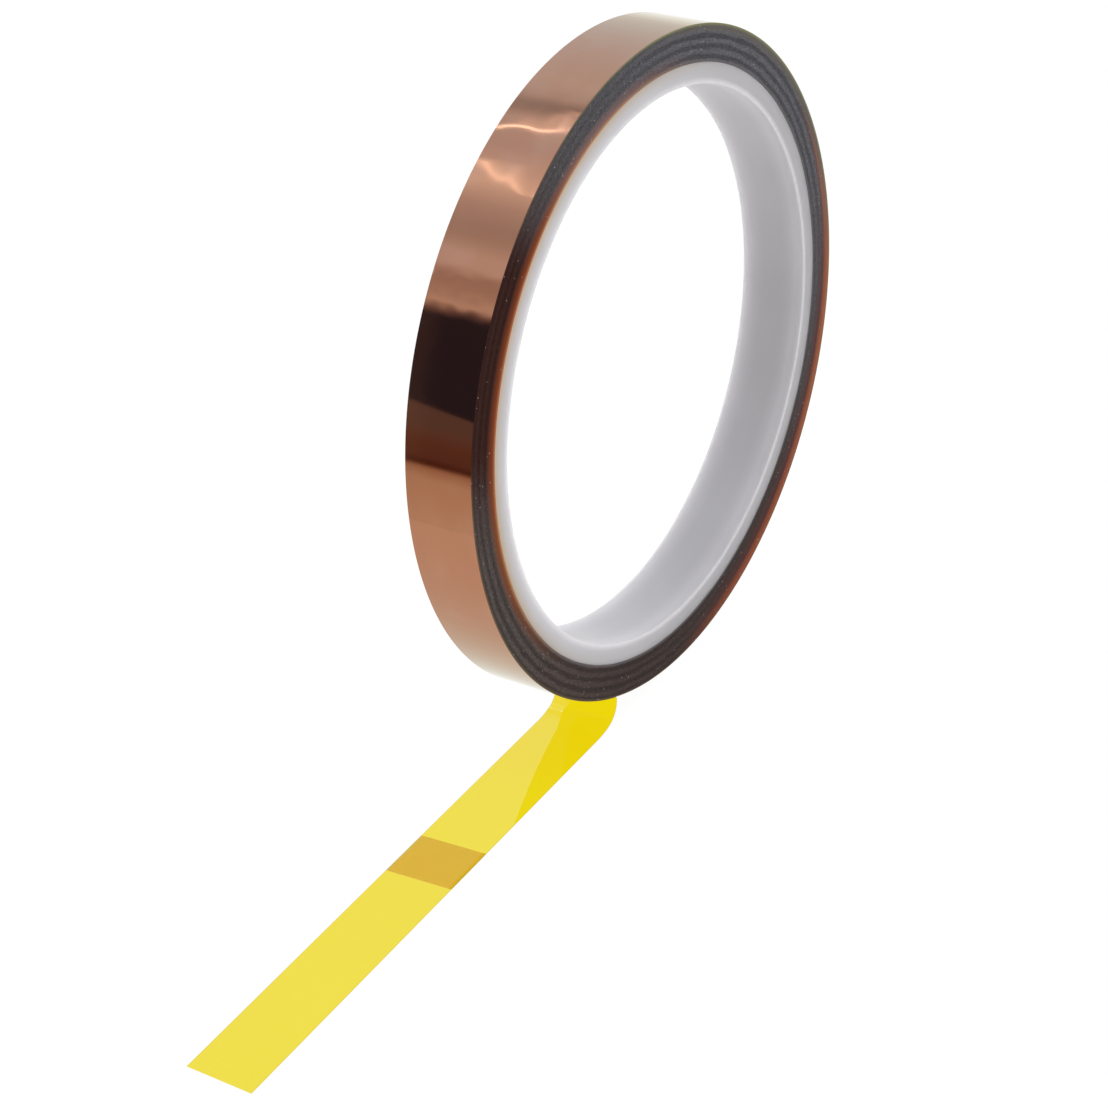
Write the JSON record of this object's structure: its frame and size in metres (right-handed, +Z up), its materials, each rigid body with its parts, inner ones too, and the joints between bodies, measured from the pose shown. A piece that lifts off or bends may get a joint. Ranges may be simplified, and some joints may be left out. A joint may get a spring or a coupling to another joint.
{
  "type": "electrical tape roll",
  "caption": "Part-used roll of narrow amber film tape on a plain white core, standing on its rim, free end folded back and laid flat; the roll turns as tape is drawn off.",
  "frame": {"origin": "centre of the core's bore, on the roll's axis and midway across its width", "axes": "+Y along the roll's axis, +Z up with the roll standing on its rim, free end laid out towards -X"},
  "size_m": [0.1487, 0.01, 0.093],
  "materials": {
    "core_plastic": "satin white",
    "wound_film": "glossy, deep amber brown where many turns lie over each other",
    "single_film": "glossy clear amber yellow",
    "tab_paper": "matt ochre"
  },
  "bodies": {
    "bend": {"tape_bend": "single_film"},
    "roll": {"core": "core_plastic", "wound_tape": "wound_film"},
    "tail": {"tail_stretch": "single_film"},
    "tip": {"tail_end": "single_film", "end_tab": "tab_paper"}
  },
  "joints": [
    {"name": "roll_turn", "type": "hinge", "parent": "bend", "child": "roll", "pos_m": [0, 0, 0], "axis": [0, -1, 0], "range_deg": [0, 360]},
    {"name": "tail_lift", "type": "hinge", "parent": "bend", "child": "tail", "pos_m": [-0.02408, 0, -0.04643], "axis": [0, 1, 0], "range_deg": [0, 50]},
    {"name": "tape_draw", "type": "slide", "parent": "tail", "child": "tip", "axis": [-1, 0, 0], "range_m": [0, 0.2925], "deforming": ["tail_stretch"]}
  ],
  "couplings": [
    {"joint": "tape_draw", "follows": "roll_turn", "m_per_rad": 0.04652}
  ]
}
